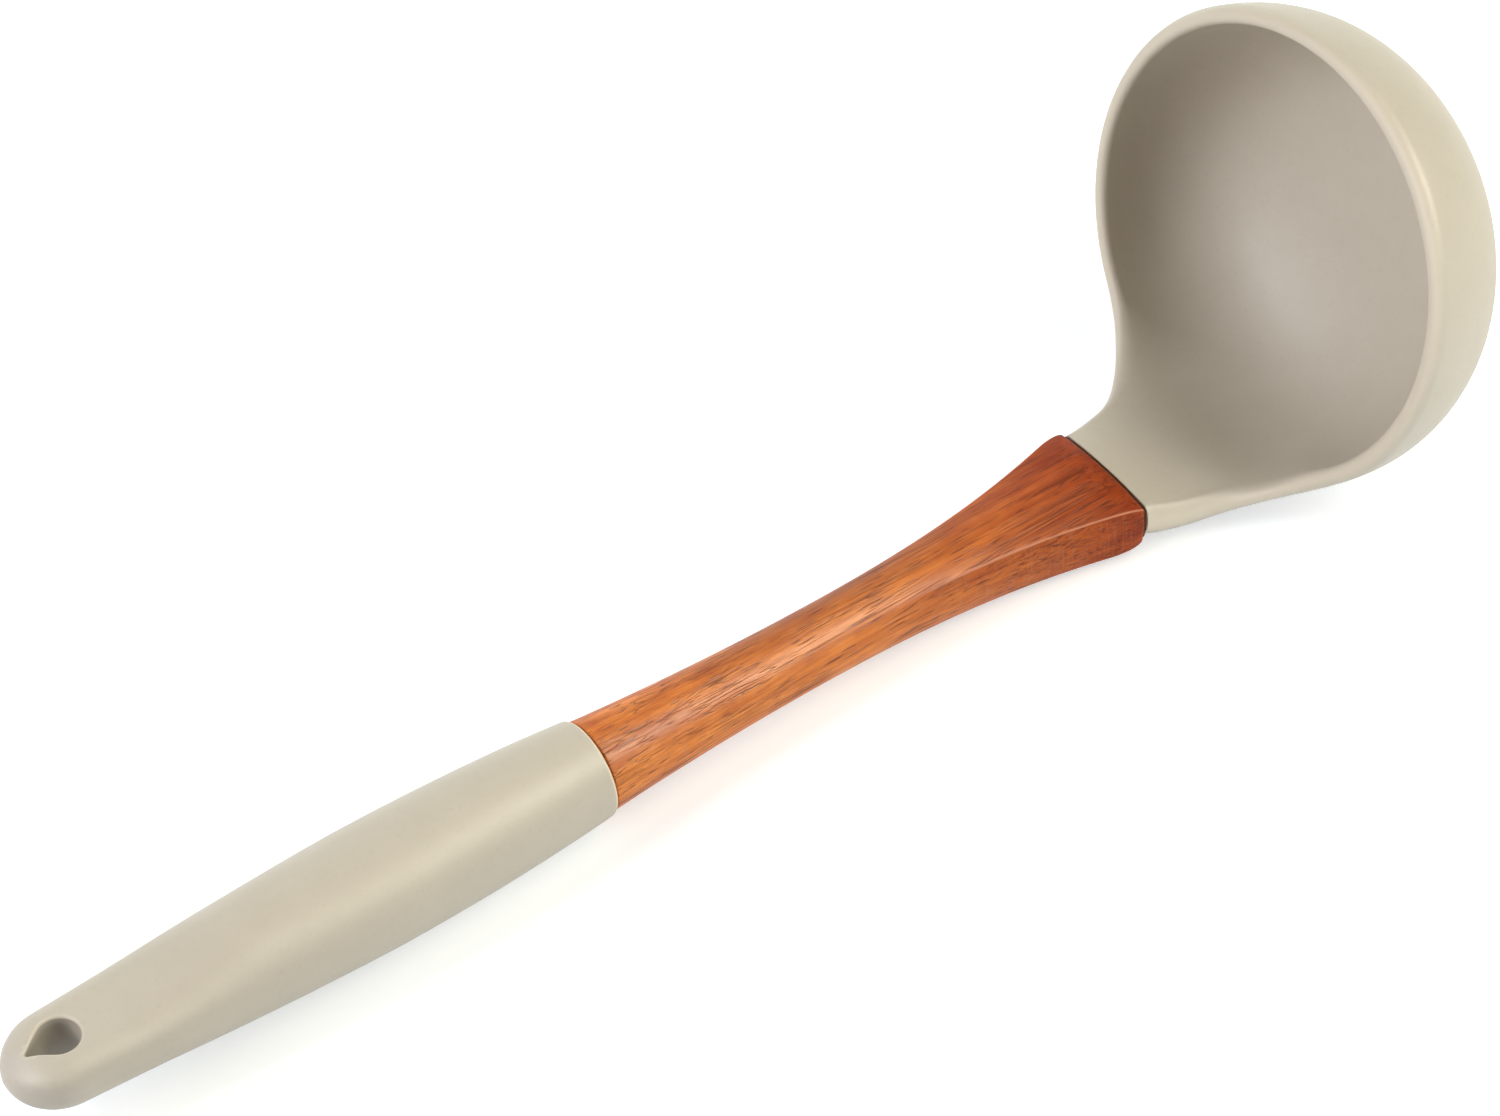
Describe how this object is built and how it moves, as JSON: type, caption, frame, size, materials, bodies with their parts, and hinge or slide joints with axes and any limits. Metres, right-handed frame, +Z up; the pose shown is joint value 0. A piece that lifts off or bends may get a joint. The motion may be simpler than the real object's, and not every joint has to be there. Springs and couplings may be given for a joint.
{
  "type": "soup ladle",
  "caption": "Soup ladle with a deep round silicone bowl set nearly square to a waisted wooden shank, and a soft oval grip with a teardrop hanging hole.",
  "frame": {"origin": "middle of the ladle's box on the surface that it lies on", "axes": "+X along the handle from the grip to the bowl, +Y across the handle, +Z up on the side that the bowl opens towards"},
  "size_m": [0.2942, 0.0882, 0.084],
  "materials": {
    "silicone": "matte",
    "wood": "satin oiled",
    "core_nylon": "moulded",
    "glue": "cured"
  },
  "bodies": {
    "root": {"bowl_skin": "silicone", "bowl_core": "core_nylon", "head_glue": "glue", "wood_handle": "wood", "grip_glue": "glue", "grip_core": "core_nylon", "grip_sleeve": "silicone"}
  },
  "joints": []
}
